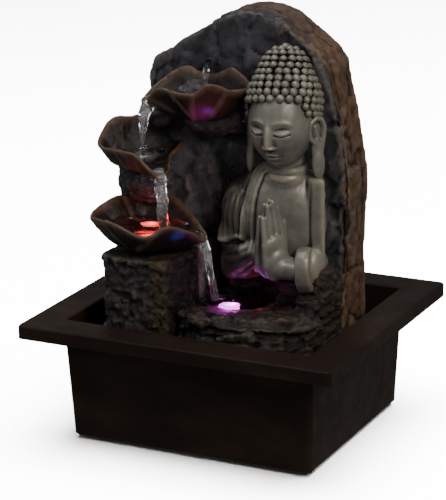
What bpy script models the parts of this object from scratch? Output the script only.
"""Tabletop water fountain: a tub with a wide rim, and in it a lift-out rock of cast resin that carries three
pouring leaf bowls, a pool and a praying bust, fed by a small submersible pump.

Metres, +Z up, front towards -Y. The origin is the centre of the footprint, on the floor.
"""

import math

import bmesh
import bpy
from mathutils import Euler, Matrix, Vector, noise

GAP = 0.0003

# Basin
RIM_HALF = (0.105, 0.0925)
RIM_TOP = 0.079
RIM_SKIRT = 0.0086
OPENING_HALF = (0.0825, 0.070)
WALL = 0.0022
WALL_TAPER = 0.0034
FOOT_HEIGHT = 0.0016
FOOT_RADIUS = 0.006
BASIN_BOTTOM = FOOT_HEIGHT + GAP
FLOOR_TOP = BASIN_BOTTOM + 0.0024
GROMMET = Vector((0.050, 0.07045, 0.063))
GROMMET_RADIUS = 0.0052

# Rock
REST = FLOOR_TOP + GAP
BACK = 0.052
SLAB_FRONT = 0.0165
ROCK_TOP = 0.262
POOL_LEVEL = 0.090
PEDESTAL_TOP = 0.1215
ROCK_VOXEL = 0.0092
ROCK_ROUGH = 0.0012
SPARE = 0.013  # what a flat cut takes off a moulded shape

# Pump, with its shaft along Y
PUMP = Vector((0.026, -0.012, 0.0235))
PUMP_HALF = Vector((0.019, 0.015, 0.015))
ROTOR_RADIUS = 0.0058
CHAMBER_RADIUS = 0.0098
NOZZLE_RADIUS = 0.0034
NOZZLE_TOP = 0.051
HOSE_RADIUS = 0.0051
HOSE_BORE = 0.0038

# Rear access cover
ACCESS_CENTRE = Vector((0.002, BACK, 0.140))
ACCESS_HALF = (0.040, 0.045)
COVER_BORDER = 0.006
SCREW_RADIUS = 0.0014

# Lights, each by the middle of its underside
LIGHT_RADIUS = 0.0052
LIGHTS = {
    "upper": (-0.0130, -0.0110, 0.2005),
    "lower": (-0.0390, -0.0370, 0.1245),
    "pool": (0.0100, -0.0290, 0.0808),
}

# Bust, on its own centre plane
BUST_X = 0.034
HEAD = Vector((0.036, -0.006, 0.2005))

SLAB_OUTLINE = [
    (-0.064, -SPARE), (-0.066, 0.060), (-0.065, 0.120), (-0.063, 0.180), (-0.066, 0.205),
    (-0.066, 0.219), (-0.062, 0.227), (-0.053, 0.233), (-0.044, 0.241), (-0.033, 0.247),
    (-0.021, 0.255), (-0.012, 0.2595), (0.000, ROCK_TOP), (0.012, ROCK_TOP), (0.023, 0.259),
    (0.034, 0.251), (0.041, 0.246), (0.050, 0.239), (0.056, 0.231), (0.058, 0.218),
    (0.0625, 0.200), (0.0655, 0.181), (0.0685, 0.164), (0.069, 0.150), (0.0675, 0.132),
    (0.0665, 0.110), (0.067, 0.080), (0.068, 0.040), (0.068, -SPARE),
]

POOL_OUTLINE = [
    (-0.0135 - SPARE, SPARE + 0.0155), (-0.0135 - SPARE, -0.056), (-0.004, -0.0585), (0.006, -0.061), (0.013, -0.058),
    (0.021, -0.051), (0.030, -0.052), (0.041, -0.049), (0.052, -0.044), (0.063, -0.036),
    (0.0665, -0.026), (0.0675, SPARE + 0.0155),
]

HOSE_ROUTE = [
    (0.026, -0.017, 0.043), (0.026, -0.017, 0.054), (0.0255, -0.011, 0.061), (0.023, 0.004, 0.063),
    (0.020, 0.020, 0.065), (0.016, 0.031, 0.073), (0.011, 0.034, 0.092), (0.000, 0.034, 0.140),
    (-0.013, 0.034, 0.190), (-0.020, 0.0345, 0.216), (-0.022, 0.0315, 0.2270), (-0.022, 0.0236, 0.2290),
]

for leftover in list(bpy.data.objects):
    bpy.data.objects.remove(leftover)

PARTS = bpy.data.collections.new("water_fountain")
CUTTERS = bpy.data.collections.new("cutters")
bpy.context.scene.collection.children.link(PARTS)
bpy.context.scene.collection.children.link(CUTTERS)


def material(name, colour, roughness, metallic=0.0):
    made = bpy.data.materials.new(name)
    made.use_nodes = True
    shader = made.node_tree.nodes["Principled BSDF"]
    shader.inputs["Base Color"].default_value = (*colour, 1.0)
    shader.inputs["Roughness"].default_value = roughness
    shader.inputs["Metallic"].default_value = metallic
    return made


BASIN_PLASTIC = material("basin_plastic", (0.020, 0.016, 0.013), 0.42)
ROCK_RESIN = material("rock_resin", (0.045, 0.040, 0.040), 0.70)
LEAF_RESIN = material("leaf_resin", (0.070, 0.050, 0.038), 0.55)
PEWTER_RESIN = material("pewter_resin", (0.230, 0.215, 0.165), 0.50)
RUBBER = material("rubber", (0.020, 0.020, 0.020), 0.85)
PUMP_PLASTIC = material("pump_plastic", (0.030, 0.030, 0.034), 0.40)
HOSE_VINYL = material("hose_vinyl", (0.550, 0.560, 0.550), 0.25)
LENS_PLASTIC = material("lens_plastic", (0.850, 0.800, 0.820), 0.15)
CERAMIC = material("ceramic", (0.850, 0.840, 0.800), 0.30)
FERRITE = material("ferrite", (0.060, 0.060, 0.065), 0.60)
COPPER = material("copper", (0.620, 0.290, 0.130), 0.35, 1.0)
STEEL = material("steel", (0.520, 0.520, 0.520), 0.35, 1.0)


def link(name, mesh, finish, collection=PARTS):
    mesh.materials.clear()
    mesh.materials.append(finish)
    made = bpy.data.objects.new(name, mesh)
    collection.objects.link(made)
    if collection is CUTTERS:
        made.hide_render = True
        made.display_type = "WIRE"
    return made


def object_of(bm, name, finish, collection=PARTS, smooth_angle=35):
    """One object from a bmesh, with its normals outwards and its round stretches shaded smooth."""
    bmesh.ops.recalc_face_normals(bm, faces=bm.faces)
    mesh = bpy.data.meshes.new(name)
    bm.to_mesh(mesh)
    bm.free()
    mesh.shade_smooth()
    mesh.set_sharp_from_angle(angle=math.radians(smooth_angle))
    return link(name, mesh, finish, collection)


def add_box(bm, low, high):
    low, high = Vector(low), Vector(high)
    size = Matrix.Diagonal((*(high - low), 1.0))
    bmesh.ops.create_cube(bm, size=1.0, matrix=Matrix.Translation((low + high) / 2) @ size)


def add_cylinder(bm, start, end, radius, end_radius=None, segments=24):
    """A solid cylinder or cone whose axis runs from start to end."""
    start, end = Vector(start), Vector(end)
    along = end - start
    turn = along.to_track_quat("Z", "Y").to_matrix().to_4x4()
    bmesh.ops.create_cone(
        bm, cap_ends=True, segments=segments, radius1=radius,
        radius2=radius if end_radius is None else end_radius, depth=along.length,
        matrix=Matrix.Translation((start + end) / 2) @ turn,
    )


def add_ellipsoid(bm, centre, half, tilt=(0, 0, 0), segments=20):
    """An ellipsoid of the half sizes given, turned by tilt, which is in degrees."""
    turn = Euler([math.radians(a) for a in tilt]).to_matrix().to_4x4()
    place = Matrix.Translation(centre) @ turn @ Matrix.Diagonal((*half, 1.0))
    bmesh.ops.create_uvsphere(bm, u_segments=segments, v_segments=segments // 2, radius=1.0, matrix=place)


def add_prism(bm, outline, low, high, axis="Y"):
    """A flat outline extruded along Y, where it is (x, z), or along Z, where it is (x, y)."""
    points = [(x, low, v) if axis == "Y" else (x, v, low) for x, v in outline]
    face = bm.faces.new([bm.verts.new(p) for p in points])
    step = Vector((0, high - low, 0)) if axis == "Y" else Vector((0, 0, high - low))
    made = bmesh.ops.extrude_face_region(bm, geom=[face], use_keep_orig=True)
    bmesh.ops.translate(bm, verts=[v for v in made["geom"] if isinstance(v, bmesh.types.BMVert)], vec=step)


def box(name, low, high, finish, collection=PARTS, bevel=0.0):
    bm = bmesh.new()
    add_box(bm, low, high)
    if bevel:
        bmesh.ops.bevel(bm, geom=bm.edges[:], offset=bevel, segments=2, profile=0.5, affect="EDGES")
    return object_of(bm, name, finish, collection)


def cylinder(name, start, end, radius, finish, collection=PARTS, end_radius=None, segments=24):
    bm = bmesh.new()
    add_cylinder(bm, start, end, radius, end_radius, segments)
    return object_of(bm, name, finish, collection)


def turned(name, profile, centre, finish, axis="Z", segments=24):
    """A ring turned from a closed profile of (radius, height) about an axis through centre."""
    bm = bmesh.new()
    verts = [bm.verts.new((radius, 0, height)) for radius, height in profile]
    edges = [bm.edges.new((a, b)) for a, b in zip(verts, verts[1:] + verts[:1])]
    bmesh.ops.spin(
        bm, geom=verts + edges, cent=(0, 0, 0), axis=(0, 0, 1),
        angle=2 * math.pi, steps=segments, use_merge=True,
    )
    bmesh.ops.remove_doubles(bm, verts=bm.verts, dist=1e-6)
    if axis == "Y":
        bmesh.ops.rotate(bm, verts=bm.verts, cent=(0, 0, 0), matrix=Matrix.Rotation(-math.pi / 2, 3, "X"))
    bmesh.ops.translate(bm, verts=bm.verts, vec=centre)
    return object_of(bm, name, finish)


def evaluated_mesh(obj):
    bpy.context.view_layer.update()
    graph = bpy.context.evaluated_depsgraph_get()
    return bpy.data.meshes.new_from_object(obj.evaluated_get(graph))


def apply_modifiers(obj):
    mesh = evaluated_mesh(obj)
    obj.modifiers.clear()
    obj.data = mesh


def combine(obj, other, operation="DIFFERENCE"):
    modifier = obj.modifiers.new(operation.lower(), "BOOLEAN")
    modifier.operation = operation
    modifier.object = other
    apply_modifiers(obj)


def cut_box(obj, name, low, high):
    combine(obj, box(name, low, high, RUBBER, CUTTERS))


def cut_cylinder(obj, name, start, end, radius, segments=24):
    combine(obj, cylinder(name, start, end, radius, RUBBER, CUTTERS, segments=segments))


def keep_side(bm, point, normal):
    """Keeps what lies on the side that normal points to, and closes the cut with a flat face."""
    geometry = bm.verts[:] + bm.edges[:] + bm.faces[:]
    made = bmesh.ops.bisect_plane(
        bm, geom=geometry, plane_co=point, plane_no=-Vector(normal), clear_outer=True
    )
    rim = [e for e in made["geom_cut"] if isinstance(e, bmesh.types.BMEdge)]
    bmesh.ops.holes_fill(bm, edges=rim, sides=0)


def keep_largest(bm):
    """Drops crumbs that a cut left, and keeps the body with the most faces. Bodies join along edges."""
    left = set(bm.faces)
    bodies = []
    while left:
        reached, front = set(), [left.pop()]
        while front:
            face = front.pop()
            reached.add(face)
            near = {other for edge in face.edges for other in edge.link_faces} & left
            left -= near
            front.extend(near)
        bodies.append(reached)
    bodies.sort(key=len)
    crumbs = [face for body in bodies[:-1] for face in body]
    bmesh.ops.delete(bm, geom=crumbs, context="FACES")
    loose = [v for v in bm.verts if not v.link_faces]
    bmesh.ops.delete(bm, geom=loose, context="VERTS")


def tidy_body(obj):
    bm = bmesh.new()
    bm.from_mesh(obj.data)
    bmesh.ops.remove_doubles(bm, verts=bm.verts, dist=2e-6)
    keep_largest(bm)
    bm.to_mesh(obj.data)
    bm.free()


def moulded(bm, name, finish, voxel, rough=0.0, grain=55.0, keep=()):
    """Fuses overlapping shapes into one skin, roughens it like stone, and trims it with flat cuts."""
    draft = object_of(bm, name, finish)
    remesh = draft.modifiers.new("fuse", "REMESH")
    remesh.mode = "VOXEL"
    remesh.voxel_size = voxel
    apply_modifiers(draft)
    bm = bmesh.new()
    bm.from_mesh(draft.data)
    bpy.data.objects.remove(draft)
    bm.normal_update()
    if rough:
        pushes = [rough * noise.turbulence(v.co * grain, 2, False) * v.normal for v in bm.verts]
        for vert, push in zip(bm.verts, pushes):
            vert.co += push
    for point, normal in keep:
        keep_side(bm, point, normal)
    keep_largest(bm)
    bmesh.ops.remove_doubles(bm, verts=bm.verts, dist=2e-4)
    return object_of(bm, name, finish)


def swollen(obj, name, by=GAP + 0.0002):
    """A cutter the shape of obj, larger by a small gap all round."""
    bm = bmesh.new()
    bm.from_mesh(obj.data)
    bm.normal_update()
    moves = [v.normal * by * v.calc_shell_factor() for v in bm.verts]
    for vert, move in zip(bm.verts, moves):
        vert.co += move
    return object_of(bm, name, RUBBER, CUTTERS)


def rounded_ring(bm, half_x, half_y, radius, height, steps=4):
    """A closed loop of edges: a rectangle with round corners at one height."""
    verts = []
    for quarter, (sx, sy) in enumerate(((1, 1), (-1, 1), (-1, -1), (1, -1))):
        for step in range(steps + 1):
            angle = math.pi / 2 * (quarter + step / steps)
            x = sx * (half_x - radius) + radius * math.cos(angle)
            y = sy * (half_y - radius) + radius * math.sin(angle)
            verts.append(bm.verts.new((x, y, height)))
    return [bm.edges.new((a, b)) for a, b in zip(verts, verts[1:] + verts[:1])]


def basin():
    """The tub: tapered walls, a flat rim with a turned-down edge, and a hole for the cable."""
    open_x, open_y = OPENING_HALF
    rim_x, rim_y = RIM_HALF
    under = RIM_TOP - 0.0026
    skirt = RIM_TOP - RIM_SKIRT
    foot_x, foot_y = open_x + WALL - WALL_TAPER, open_y + WALL - WALL_TAPER
    sections = [
        (foot_x - 0.0015, foot_y - 0.0015, 0.003, BASIN_BOTTOM),
        (foot_x, foot_y, 0.004, BASIN_BOTTOM + 0.0015),
        (open_x + WALL, open_y + WALL, 0.004, under),
        (rim_x - WALL, rim_y - WALL, 0.002, under),
        (rim_x - WALL, rim_y - WALL, 0.002, skirt),
        (rim_x, rim_y, 0.003, skirt),
        (rim_x, rim_y, 0.003, RIM_TOP - 0.0008),
        (rim_x - 0.0008, rim_y - 0.0008, 0.0024, RIM_TOP),
        (open_x + 0.0008, open_y + 0.0008, 0.003, RIM_TOP),
        (open_x, open_y, 0.003, RIM_TOP - 0.0008),
        (foot_x - WALL + 0.0001, foot_y - WALL + 0.0001, 0.003, FLOOR_TOP + 0.0015),
        (foot_x - WALL - 0.0014, foot_y - WALL - 0.0014, 0.002, FLOOR_TOP),
    ]
    bm = bmesh.new()
    rings = [rounded_ring(bm, *section) for section in sections]
    for lower, upper in zip(rings, rings[1:]):
        bmesh.ops.bridge_loops(bm, edges=lower + upper)
    bmesh.ops.holes_fill(bm, edges=rings[0] + rings[-1], sides=0)
    tub = object_of(bm, "basin", BASIN_PLASTIC)
    cut_cylinder(
        tub, "grommet_hole", GROMMET - Vector((0, 0.008, 0)), GROMMET + Vector((0, 0.008, 0)), 0.0042
    )


def feet():
    spread_x, spread_y = 0.066, 0.054
    for side, x in (("left", -spread_x), ("right", spread_x)):
        for end, y in (("front", -spread_y), ("rear", spread_y)):
            cylinder(f"foot_{end}_{side}", (x, y, 0), (x, y, FOOT_HEIGHT), FOOT_RADIUS, RUBBER)


def cable_grommet():
    """A rubber ring in the rear wall, its waist in the hole, open for the cable."""
    waist, flange, thick = 0.0042 - GAP, GROMMET_RADIUS + 0.001, 0.0018
    profile = [
        (0.0021, -thick - 0.0019), (0.0021, thick + 0.0019), (flange, thick + 0.0019),
        (flange, thick), (waist, thick), (waist, -thick), (flange, -thick),
        (flange, -thick - 0.0019),
    ]
    turned("cable_grommet", profile, GROMMET, RUBBER, "Y")


def rock_backdrop():
    """The slab, its shoulder behind the bowls, its duct for the hose and its opening at the back."""
    bm = bmesh.new()
    add_prism(bm, SLAB_OUTLINE, SLAB_FRONT + 0.001, BACK + SPARE)
    add_box(bm, (-0.062, -0.018, -SPARE), (-0.0155, 0.030, PEDESTAL_TOP - 0.002))
    add_box(bm, (-0.0615, -0.006, 0.100), (-0.024, 0.030, 0.158))
    add_ellipsoid(bm, (-0.047, 0.016, 0.170), (0.0190, 0.0170, 0.0360))
    add_ellipsoid(bm, (-0.018, 0.018, 0.199), (0.0300, 0.0200, 0.0160))
    rock = moulded(
        bm, "rock_backdrop", ROCK_RESIN, ROCK_VOXEL, ROCK_ROUGH,
        keep=(((0, 0, REST), (0, 0, 1)), ((0, BACK, 0), (0, -1, 0))),
    )
    cut_box(rock, "duct", (-0.054, 0.0225, -0.005), (0.057, 0.046, 0.196))
    cut_box(rock, "upper_duct", (-0.040, 0.0225, 0.190), (0.036, 0.046, 0.2365))
    cut_box(rock, "shoulder_hollow", (-0.054, -0.010, -0.005), (-0.023, 0.030, 0.112))
    cut_box(rock, "pump_passage", (-0.008, 0.008, -0.005), (0.056, 0.030, 0.072))
    cut_box(rock, "pedestal_passage", (-0.046, -0.025, -0.005), (-0.030, 0.000, 0.060))
    low = ACCESS_CENTRE - Vector((ACCESS_HALF[0], 0.010, ACCESS_HALF[1]))
    high = ACCESS_CENTRE + Vector((ACCESS_HALF[0], 0.010, ACCESS_HALF[1]))
    cut_box(rock, "access_opening", low, high)
    outlet = Vector((HOSE_ROUTE[-1][0], 0, HOSE_ROUTE[-1][2]))
    cut_cylinder(rock, "outlet_hole", outlet + Vector((0, -0.01, 0)), outlet + Vector((0, 0.03, 0)), 0.0038)
    for index, place in enumerate(screw_places()):
        cut_cylinder(
            rock, f"screw_pilot_{index}", place + Vector((0, 0.005, 0)),
            place - Vector((0, 0.0045, 0)), SCREW_RADIUS + GAP, segments=12,
        )
    return rock


def ledge_outline(reach):
    """The edge of one layer of slate at the right front, reach further out than the upper one."""
    return [
        (0.012, -0.0615 - reach / 2), (0.034, -0.059 - reach), (0.056, -0.051 - reach),
        (0.068, -0.039 - reach), (0.0695, -0.020), (0.030, -0.020),
    ]


def pool_base():
    """The block under the pool: a shallow dish on top, a lip at the front and a room for the pump below."""
    bm = bmesh.new()
    add_prism(bm, POOL_OUTLINE, -SPARE, POOL_LEVEL - 0.002, axis="Z")
    add_box(bm, (0.052, -0.026, 0.070), (0.0665, 0.0155 + SPARE, 0.096))
    add_box(bm, (-0.004, -0.008, 0.070), (0.0660, 0.0155 + SPARE, 0.101))
    for low, high, reach in ((0.076, 0.0835, 0.0), (0.062, 0.072, 0.004)):
        add_prism(bm, ledge_outline(reach), low, high, axis="Z")
    base = moulded(
        bm, "pool_base", ROCK_RESIN, ROCK_VOXEL, ROCK_ROUGH,
        keep=(((0, 0, REST), (0, 0, 1)), ((0, 0.0148, 0), (0, -1, 0)), ((-0.0138, 0, 0), (1, 0, 0))),
    )
    dish = bmesh.new()
    add_ellipsoid(dish, (0.016, -0.026, POOL_LEVEL + 0.001), (0.027, 0.028, 0.0075), segments=28)
    combine(base, object_of(dish, "pool_dish", RUBBER, CUTTERS))
    light = Vector(LIGHTS["pool"])
    cut_cylinder(base, "pool_light_hole", light - Vector((0, 0, 0.012)), light + Vector((0, 0, 0.012)),
                 LIGHT_RADIUS + 0.0005)
    cut_box(base, "inner_corner", (-0.030, 0.0040, -0.005), (-0.0050, 0.030, 0.110))
    cut_box(base, "pump_room", (-0.0075, -0.047, -0.005), (0.0605, 0.030, 0.0745))
    return base


def pedestal():
    """The left front column, hollow below, and the flat plate that carries the lower bowl."""
    bm = bmesh.new()
    add_box(bm, (-0.0605, -0.0625, -SPARE), (-0.0155 + SPARE, -0.0205 + SPARE, PEDESTAL_TOP + SPARE))
    column = moulded(
        bm, "pedestal_rock", ROCK_RESIN, 0.0075, 0.0016, grain=75.0,
        keep=(((0, 0, REST), (0, 0, 1)), ((0, -0.0196, 0), (0, -1, 0)), ((-0.0144, 0, 0), (-1, 0, 0)),
              ((0, 0, PEDESTAL_TOP - 0.0035), (0, 0, -1))),
    )
    cut_box(column, "pedestal_hollow", (-0.0545, -0.0565, -0.005), (-0.0215, -0.0265, 0.108))
    cut_box(column, "pedestal_doorway", (-0.046, -0.030, -0.005), (-0.030, -0.015, 0.060))
    cap = bmesh.new()
    add_box(cap, (-0.0635, -0.0645, PEDESTAL_TOP - 0.003), (-0.0135, -0.021, PEDESTAL_TOP))
    bmesh.ops.bevel(
        cap, geom=[e for e in cap.edges if abs(e.verts[0].co.z - e.verts[1].co.z) > 0.001],
        offset=0.007, segments=3, profile=0.5, affect="EDGES",
    )
    object_of(cap, "pedestal_cap", ROCK_RESIN)


def small_rock():
    bm = bmesh.new()
    add_ellipsoid(bm, (-0.0555, -0.0135, 0.1605), (0.0170, 0.0135, 0.0085))
    add_box(bm, (-0.068, -0.018, 0.154), (-0.046, 0.002, 0.166))
    return moulded(bm, "small_rock", ROCK_RESIN, 0.0055, 0.0009, grain=90.0)


def leaf_bowl(name, centre, half, depth, tilts, lobes, drain=None, thickness=0.0022):
    """A bowl like a cupped leaf. tilts gives (angle, width, rise) for each lip or pouring spout."""
    bm = bmesh.new()
    bmesh.ops.create_uvsphere(bm, u_segments=24, v_segments=12, radius=1.0)
    bmesh.ops.delete(bm, geom=[v for v in bm.verts if v.co.z > 0.01], context="VERTS")
    centre = Vector(centre)
    for vert in bm.verts:
        angle = math.atan2(vert.co.y, vert.co.x)
        reach = math.hypot(vert.co.x, vert.co.y)
        wave = 1 + 0.035 * math.cos(lobes * angle)
        rise = 0.0
        for direction, width, height in tilts:
            away = math.remainder(angle - math.radians(direction), 2 * math.pi) / math.radians(width)
            rise += height * math.exp(-away * away)
        vert.co = centre + Vector((
            half[0] * reach * wave * math.cos(angle),
            half[1] * reach * wave * math.sin(angle),
            depth * (reach ** 2.4 - 1) + rise * reach ** 3,
        ))
    bowl = object_of(bm, name, LEAF_RESIN, smooth_angle=60)
    shell = bowl.modifiers.new("wall", "SOLIDIFY")
    shell.thickness = thickness
    shell.offset = 1.0
    apply_modifiers(bowl)
    if drain:
        cut_cylinder(
            bowl, f"{name}_light_hole", (drain[0], drain[1], centre.z - depth - 0.01),
            (drain[0], drain[1], centre.z - depth + 0.012), LIGHT_RADIUS + 0.0005,
        )
    return bowl


def leaf_bowls():
    upper = leaf_bowl(
        "upper_leaf_bowl", (-0.0185, -0.0085, 0.2205), (0.0300, 0.0195), 0.0175,
        ((208, 30, -0.009), (112, 24, 0.004), (62, 22, 0.005), (300, 22, 0.004)), 5,
        drain=(LIGHTS["upper"][0], LIGHTS["upper"][1]),
    )
    middle = leaf_bowl(
        "middle_leaf_bowl", (-0.0525, -0.0235, 0.1860), (0.0235, 0.0235), 0.0150,
        ((318, 34, -0.014), (150, 40, 0.009), (200, 25, 0.003)), 3,
    )
    lower = leaf_bowl(
        "lower_leaf_bowl", (-0.0400, -0.0405, 0.1430), (0.0345, 0.0265), 0.0190,
        ((8, 24, -0.010), (150, 26, 0.005), (70, 26, 0.005), (245, 20, -0.003)), 5,
        drain=(LIGHTS["lower"][0], LIGHTS["lower"][1]),
    )
    return upper, middle, lower


def lights():
    """Each light is a sealed capsule with a domed lens on top."""
    for name, place in LIGHTS.items():
        place = Vector(place)
        high = place + Vector((0, 0, 0.0075 if name != "pool" else 0.0032))
        cylinder(f"{name}_light_capsule", place, high, LIGHT_RADIUS, PUMP_PLASTIC, segments=20)
        bm = bmesh.new()
        add_ellipsoid(bm, high + Vector((0, 0, GAP)), (LIGHT_RADIUS - 0.0004, LIGHT_RADIUS - 0.0004, 0.0030), segments=16)
        keep_side(bm, high + Vector((0, 0, GAP)), (0, 0, 1))
        object_of(bm, f"{name}_light_lens", LENS_PLASTIC)


def bust():
    """The robe, the head with its neck and ears, the cap of hair, the pressed hands and the cuff."""
    back = 0.0148
    cuts = (((0, back, 0), (0, -1, 0)), ((0, 0, 0.0985), (0, 0, 1)))
    bm = bmesh.new()
    add_ellipsoid(bm, (BUST_X - 0.002, 0.002, 0.137), (0.031, 0.019, 0.037))
    add_ellipsoid(bm, (BUST_X - 0.003, 0.003, 0.1535), (0.0335, 0.0155, 0.0135))
    add_ellipsoid(bm, (BUST_X, -0.001, 0.110), (0.030, 0.017, 0.015))
    add_ellipsoid(bm, (0.009, -0.007, 0.129), (0.0125, 0.0145, 0.024), tilt=(0, -10, 0))
    add_ellipsoid(bm, (0.018, -0.012, 0.110), (0.0165, 0.013, 0.0125))
    add_ellipsoid(bm, (0.0575, -0.005, 0.120), (0.0095, 0.014, 0.020))
    add_ellipsoid(bm, (0.0540, -0.0100, 0.1110), (0.0110, 0.0110, 0.0110))
    robe = moulded(bm, "bust_robe", PEWTER_RESIN, 0.0070, keep=cuts)

    bm = bmesh.new()
    add_ellipsoid(bm, HEAD, (0.0205, 0.0210, 0.0270))
    add_cylinder(bm, HEAD - Vector((0, -0.004, 0.014)), HEAD - Vector((0, -0.006, 0.038)), 0.0112)
    for side in (-1, 1):
        add_ellipsoid(bm, HEAD + Vector((side * 0.0205, 0.006, -0.008)), (0.0026, 0.005, 0.0165))
    head = moulded(bm, "figure_head", PEWTER_RESIN, 0.0052, keep=(((0, back, 0), (0, -1, 0)),))
    combine(robe, swollen(head, "neck_socket"))

    bm = bmesh.new()
    add_ellipsoid(bm, HEAD + Vector((0, 0.003, 0.007)), (0.0245, 0.0245, 0.0275))
    add_ellipsoid(bm, HEAD + Vector((0, 0.004, 0.032)), (0.0160, 0.0160, 0.0155))
    hair = moulded(bm, "hair_cap", PEWTER_RESIN, 0.0058, keep=(
        ((0, back, 0), (0, -1, 0)), (HEAD + Vector((0, -0.018, 0.019)), (0, 0.55, 0.83)),
    ))
    combine(hair, swollen(head, "scalp"))

    hands = []
    for name, side in (("left_hand", -1), ("right_hand", 1)):
        bm = bmesh.new()
        plane = 0.0365
        add_ellipsoid(bm, (plane + side * 0.0030, -0.0275, 0.1220), (0.0050, 0.0080, 0.0170), tilt=(10, 0, 0))
        add_ellipsoid(bm, (plane + side * 0.0024, -0.0300, 0.1420), (0.0036, 0.0062, 0.0165), tilt=(4, 0, 0))
        inner = ((plane + side * 0.0003, 0, 0), (side, 0, 0))
        hands.append(moulded(bm, name, PEWTER_RESIN, 0.0036, keep=(inner,)))
    cuff = turned("right_cuff", [
        (0.0055, -0.004), (0.0055, 0.004), (0.0088, 0.004), (0.0092, 0.0), (0.0088, -0.004),
    ], (0.0505, -0.0215, 0.1120), PEWTER_RESIN, segments=20)
    tip_over(cuff, (0.0505, -0.0215, 0.1120), (0, 65, 12))
    for piece in (*hands, cuff):
        combine(robe, swollen(piece, f"{piece.name}_room"))
    combine(cuff, swollen(hands[1], "wrist_room"))
    return robe, head, hair, *hands, cuff


def tip_over(obj, centre, tilt):
    turn = Euler([math.radians(a) for a in tilt]).to_matrix().to_4x4()
    place = Matrix.Translation(centre) @ turn @ Matrix.Translation(-Vector(centre))
    obj.data.transform(place)


def screw_places():
    reach_x = ACCESS_HALF[0] + COVER_BORDER / 2
    reach_z = ACCESS_HALF[1] + COVER_BORDER / 2
    return [ACCESS_CENTRE + Vector((sx * reach_x, 0, sz * reach_z)) for sx in (-1, 1) for sz in (-1, 1)]


def rear_access_cover():
    """A plate over the opening in the back, with a step that drops into it, held by four screws."""
    seat, thick = GAP, 0.0028
    bm = bmesh.new()
    reach_x, reach_z = ACCESS_HALF[0] + COVER_BORDER, ACCESS_HALF[1] + COVER_BORDER
    add_box(bm, ACCESS_CENTRE + Vector((-reach_x, seat, -reach_z)),
            ACCESS_CENTRE + Vector((reach_x, seat + thick, reach_z)))
    cover = object_of(bm, "rear_access_cover", ROCK_RESIN)
    step_x, step_z = ACCESS_HALF[0] - 2 * GAP, ACCESS_HALF[1] - 2 * GAP
    step = box("cover_step", ACCESS_CENTRE + Vector((-step_x, -0.002, -step_z)),
               ACCESS_CENTRE + Vector((step_x, seat + 0.001, step_z)), RUBBER, CUTTERS)
    combine(cover, step, "UNION")
    for index, place in enumerate(screw_places()):
        cut_cylinder(cover, f"cover_hole_{index}", place - Vector((0, 0.005, 0)),
                     place + Vector((0, 0.008, 0)), SCREW_RADIUS + GAP, segments=12)
        head = seat + thick + GAP
        bm = bmesh.new()
        add_cylinder(bm, place + Vector((0, -0.0038, 0)), place + Vector((0, head + 0.0004, 0)),
                     SCREW_RADIUS, segments=12)
        shank = object_of(bm, f"cover_screw_{index + 1}", STEEL)
        dome = cylinder(f"screw_dome_{index}", place + Vector((0, head, 0)),
                        place + Vector((0, head + 0.0013, 0)), 0.0028, STEEL, CUTTERS, 0.0022, 12)
        combine(shank, dome, "UNION")


def pump():
    """Housing with its rotor well, outlet and coil bay, closed by a back cap and an intake cover."""
    low, high = PUMP - PUMP_HALF, PUMP + PUMP_HALF
    housing = box("pump_housing", low, high, PUMP_PLASTIC, bevel=0.002)
    nozzle = Vector((PUMP.x, HOSE_ROUTE[0][1], 0))
    pipe = cylinder("nozzle", nozzle + Vector((0, 0, PUMP.z + 0.011)), nozzle + Vector((0, 0, NOZZLE_TOP)),
                    NOZZLE_RADIUS, PUMP_PLASTIC, CUTTERS, NOZZLE_RADIUS * 0.88, 20)
    combine(housing, pipe, "UNION")
    front = Vector((PUMP.x, low.y, PUMP.z))
    cut_cylinder(housing, "chamber", front - Vector((0, 0.004, 0)), front + Vector((0, 0.0075, 0)),
                 CHAMBER_RADIUS, 28)
    cut_cylinder(housing, "rotor_well", front + Vector((0, 0.005, 0)), front + Vector((0, 0.0185, 0)),
                 ROTOR_RADIUS + 0.0006, 24)
    cut_cylinder(housing, "outlet_bore", nozzle + Vector((0, 0, PUMP.z + 0.004)),
                 nozzle + Vector((0, 0, NOZZLE_TOP + 0.01)), 0.0022, 16)
    cut_box(housing, "coil_bay", (low.x + 0.003, high.y - 0.0085, low.z + 0.003),
            (high.x - 0.003, high.y + 0.005, high.z - 0.003))
    coil = box("pump_stator", (low.x + 0.0045, high.y - 0.0080, low.z + 0.0045),
               (high.x - 0.0045, high.y - 0.0006, high.z - 0.0045), COPPER, bevel=0.001)
    cut_cylinder(coil, "coil_bore", (PUMP.x, high.y - 0.02, PUMP.z), (PUMP.x, high.y + 0.01, PUMP.z), 0.0045)
    cap = box("pump_back_cap", (low.x, high.y + GAP, low.z), (high.x, high.y + 0.0024, high.z),
              PUMP_PLASTIC)
    gland = cylinder("gland", (PUMP.x + 0.011, high.y + 0.001, PUMP.z - 0.008),
                     (PUMP.x + 0.011, high.y + 0.0085, PUMP.z - 0.008), 0.0040, RUBBER, CUTTERS, 0.0030, 16)
    combine(cap, gland, "UNION")
    cut_cylinder(cap, "gland_bore", (PUMP.x + 0.011, high.y - 0.01, PUMP.z - 0.008),
                 (PUMP.x + 0.011, high.y + 0.02, PUMP.z - 0.008), 0.0019, 12)
    rotor(front)
    intake(low, high, front)
    for index, (sx, sy) in enumerate(((-1, -1), (1, -1), (-1, 1), (1, 1))):
        at = Vector((PUMP.x + sx * 0.012, PUMP.y + sy * 0.009, 0))
        cylinder(f"suction_cup_{index + 1}", at + Vector((0, 0, FLOOR_TOP + GAP)),
                 at + Vector((0, 0, low.z - GAP)), 0.0055, RUBBER, end_radius=0.0022, segments=16)


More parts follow.
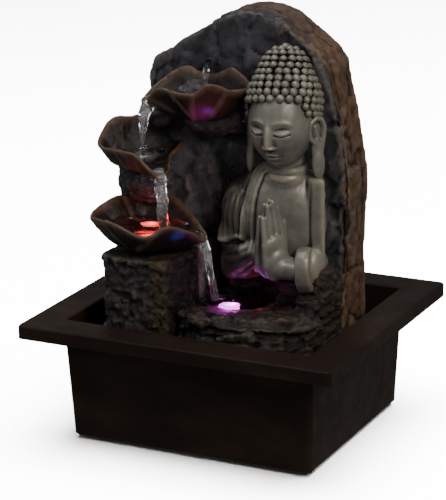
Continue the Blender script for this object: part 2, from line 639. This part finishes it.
def rotor(front):
    """The magnet and the bladed wheel, which turn on a fixed ceramic shaft."""
    cylinder("impeller_shaft", front + Vector((0, -0.0010, 0)), front + Vector((0, 0.0180, 0)), 0.0009,
             CERAMIC, segments=12)
    ring = [(0.0012, 0.0), (ROTOR_RADIUS, 0.0), (ROTOR_RADIUS, 0.0105), (0.0012, 0.0105)]
    turned("rotor_magnet", ring, front + Vector((0, 0.0072, 0)), FERRITE, "Y", 20)
    hub = [(0.0012, 0.0), (0.0034, 0.0), (0.0034, 0.0035), (0.0078, 0.0035), (0.0078, 0.0047), (0.0012, 0.0047)]
    wheel = turned("pump_impeller", hub, front + Vector((0, 0.0016, 0)), PUMP_PLASTIC, "Y", 20)
    for blade in range(5):
        bm = bmesh.new()
        add_box(bm, (0.0028, 0.0, -0.0005), (0.0080, 0.0040, 0.0005))
        bmesh.ops.rotate(bm, verts=bm.verts, cent=(0, 0, 0), matrix=Matrix.Rotation(blade * 2 * math.pi / 5, 3, "Y"))
        bmesh.ops.translate(bm, verts=bm.verts, vec=front + Vector((0, 0.0016, 0)))
        combine(wheel, object_of(bm, f"blade_{blade}", RUBBER, CUTTERS), "UNION")


def intake(low, high, front):
    """The cover in front of the wheel, with slots for the water, and the dial that sets the flow."""
    depth = 0.0060
    cover = box("intake_cover", (low.x, low.y - depth, low.z), (high.x, low.y - GAP, high.z), PUMP_PLASTIC)
    cut_box(cover, "cover_hollow", (low.x + 0.002, low.y - depth + 0.002, low.z + 0.002),
            (high.x - 0.002, low.y + 0.002, high.z - 0.002))
    for row in range(6):
        z = PUMP.z - 0.0105 + row * 0.0042
        for side, x in (("a", low.x + 0.0035), ("b", PUMP.x + 0.0095)):
            cut_box(cover, f"slot_{side}{row}", (x, low.y - depth - 0.001, z - 0.0008),
                    (x + 0.0065, low.y - depth + 0.003, z + 0.0008))
    cut_cylinder(cover, "dial_hole", front - Vector((0, depth + 0.002, 0)), front - Vector((0, 0.003, 0)), 0.0026)
    dial = cylinder("flow_regulator", front - Vector((0, depth + 0.0015, 0)),
                    front - Vector((0, depth + GAP, 0)), 0.0062, PUMP_PLASTIC, segments=24)
    spindle = cylinder("spindle", front - Vector((0, depth + 0.001, 0)), front - Vector((0, 0.0032, 0)),
                       0.0022, RUBBER, CUTTERS, segments=16)
    combine(dial, spindle, "UNION")
    tab = box("dial_tab", front + Vector((-0.0010, -depth - 0.0035, -0.0050)),
              front + Vector((0.0010, -depth - 0.0010, 0.0050)), RUBBER, CUTTERS)
    combine(dial, tab, "UNION")


def hose():
    """The vinyl hose from the pump to the outlet behind the top bowl, a wall round an open bore."""
    curve = bpy.data.curves.new("supply_tube", "CURVE")
    curve.dimensions = "3D"
    curve.bevel_depth = HOSE_RADIUS
    curve.bevel_resolution = 2
    spline = curve.splines.new("POLY")
    points = smooth_route([Vector(p) for p in HOSE_ROUTE], 2)
    spline.points.add(len(points) - 1)
    for place, point in zip(points, spline.points):
        point.co = (*place, 1.0)
    draft = bpy.data.objects.new("supply_tube_draft", curve)
    CUTTERS.objects.link(draft)
    mesh = evaluated_mesh(draft)
    bpy.data.objects.remove(draft)
    bm = bmesh.new()
    bm.from_mesh(mesh)
    bmesh.ops.remove_doubles(bm, verts=bm.verts, dist=1e-6)
    tube = object_of(bm, "supply_tube", HOSE_VINYL, smooth_angle=60)
    wall = tube.modifiers.new("wall", "SOLIDIFY")
    wall.thickness = HOSE_RADIUS - HOSE_BORE
    wall.offset = -1.0
    apply_modifiers(tube)
    at = Vector(HOSE_ROUTE[-1])
    start = 0.0115 - at.y
    ring = [(0.0021, start), (0.0032, start), (0.0032, 0.0022), (0.0021, 0.0022)]
    turned("tube_outlet", ring, at, PUMP_PLASTIC, "Y", 16)


def smooth_route(points, steps):
    """Points on a smooth curve through the ones given (Catmull-Rom)."""
    ends = [2 * points[0] - points[1], *points, 2 * points[-1] - points[-2]]
    route = []
    for a, b, c, d in zip(ends, ends[1:], ends[2:], ends[3:]):
        for step in range(steps):
            t = step / steps
            route.append(0.5 * (2 * b + (c - a) * t + (2 * a - 5 * b + 4 * c - d) * t ** 2
                                + (3 * b - a - 3 * c + d) * t ** 3))
    return [*route, points[-1]]


def fountain():
    basin()
    feet()
    cable_grommet()
    rock = rock_backdrop()
    base = pool_base()
    pedestal()
    stone = small_rock()
    bowls = leaf_bowls()
    lights()
    figure = bust()
    for piece in (*bowls, stone, *figure):
        combine(rock, swollen(piece, f"{piece.name}_seat"))
    for piece in figure:
        combine(base, swollen(piece, f"{piece.name}_bed"))
    combine(stone, swollen(bowls[1], "stone_seat"))
    rear_access_cover()
    pump()
    hose()
    for obj in PARTS.objects:
        tidy_body(obj)


fountain()
